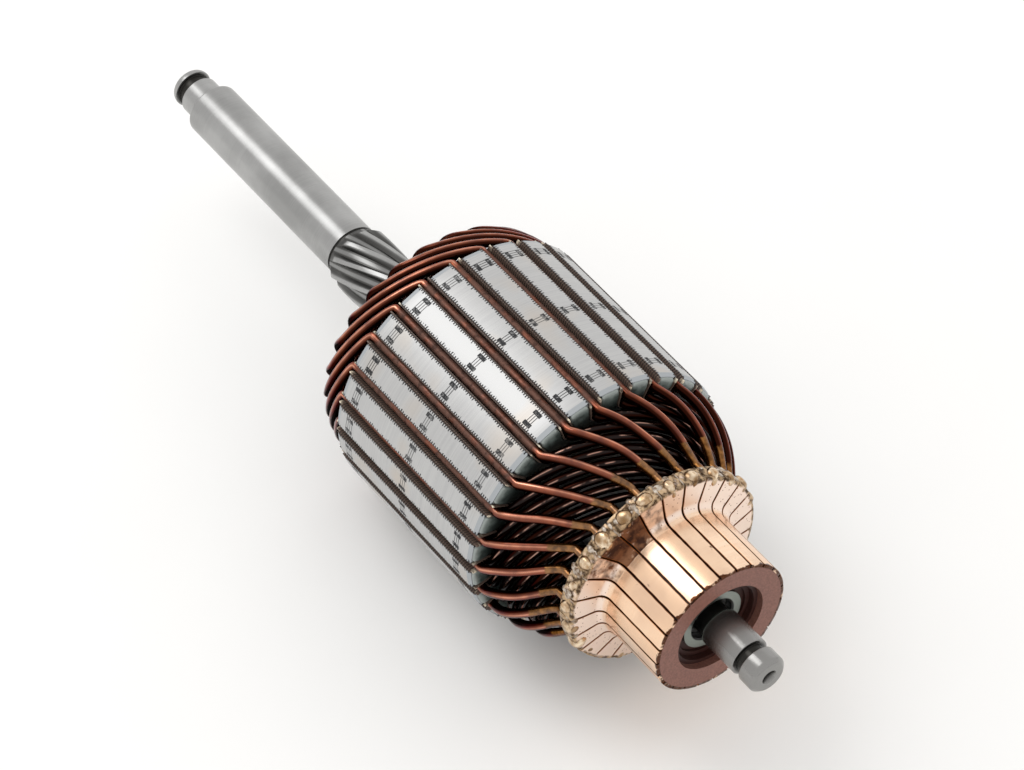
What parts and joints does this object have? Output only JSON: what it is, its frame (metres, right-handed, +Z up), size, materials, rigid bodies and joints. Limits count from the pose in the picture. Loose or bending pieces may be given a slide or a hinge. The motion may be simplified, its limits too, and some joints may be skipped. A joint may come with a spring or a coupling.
{
  "type": "starter armature",
  "caption": "Starter motor armature: a splined steel shaft carries a slotted core wound with enamelled hairpin coils, and a moulded copper commutator.",
  "frame": {"origin": "on the shaft axis, at the middle of the commutator end journal", "axes": "+X along the shaft out of the commutator end, +Z up"},
  "size_m": [0.1995, 0.0612, 0.0612],
  "materials": {
    "shaft_steel": "ground",
    "lamination_steel": "turned",
    "end_plate_fibre": "lacquered",
    "liner_paper": "matte",
    "winding_copper": "enamelled",
    "bar_copper": "turned",
    "moulding_phenolic": "moulded",
    "bush_steel": "satin"
  },
  "bodies": {
    "root": {"coil_01": "winding_copper", "coil_02": "winding_copper", "coil_03": "winding_copper", "coil_04": "winding_copper", "coil_05": "winding_copper", "coil_06": "winding_copper", "coil_07": "winding_copper", "coil_08": "winding_copper", "coil_09": "winding_copper", "coil_10": "winding_copper", "coil_11": "winding_copper", "coil_12": "winding_copper", "coil_13": "winding_copper", "coil_14": "winding_copper", "coil_15": "winding_copper", "coil_16": "winding_copper", "coil_17": "winding_copper", "coil_18": "winding_copper", "coil_19": "winding_copper", "coil_20": "winding_copper", "coil_21": "winding_copper", "coil_22": "winding_copper", "coil_23": "winding_copper", "coil_24": "winding_copper", "coil_25": "winding_copper", "commutator_bar_01": "bar_copper", "commutator_bar_02": "bar_copper", "commutator_bar_03": "bar_copper", "commutator_bar_04": "bar_copper", "commutator_bar_05": "bar_copper", "commutator_bar_06": "bar_copper", "commutator_bar_07": "bar_copper", "commutator_bar_08": "bar_copper", "commutator_bar_09": "bar_copper", "commutator_bar_10": "bar_copper", "commutator_bar_11": "bar_copper", "commutator_bar_12": "bar_copper", "commutator_bar_13": "bar_copper", "commutator_bar_14": "bar_copper", "commutator_bar_15": "bar_copper", "commutator_bar_16": "bar_copper", "commutator_bar_17": "bar_copper", "commutator_bar_18": "bar_copper", "commutator_bar_19": "bar_copper", "commutator_bar_20": "bar_copper", "commutator_bar_21": "bar_copper", "commutator_bar_22": "bar_copper", "commutator_bar_23": "bar_copper", "commutator_bar_24": "bar_copper", "commutator_bar_25": "bar_copper", "commutator_bush": "bush_steel", "commutator_moulding": "moulding_phenolic", "end_plate_commutator_side": "end_plate_fibre", "end_plate_drive_side": "end_plate_fibre", "lamination_stack": "lamination_steel", "shaft": "shaft_steel", "slot_liners": "liner_paper"}
  },
  "joints": []
}
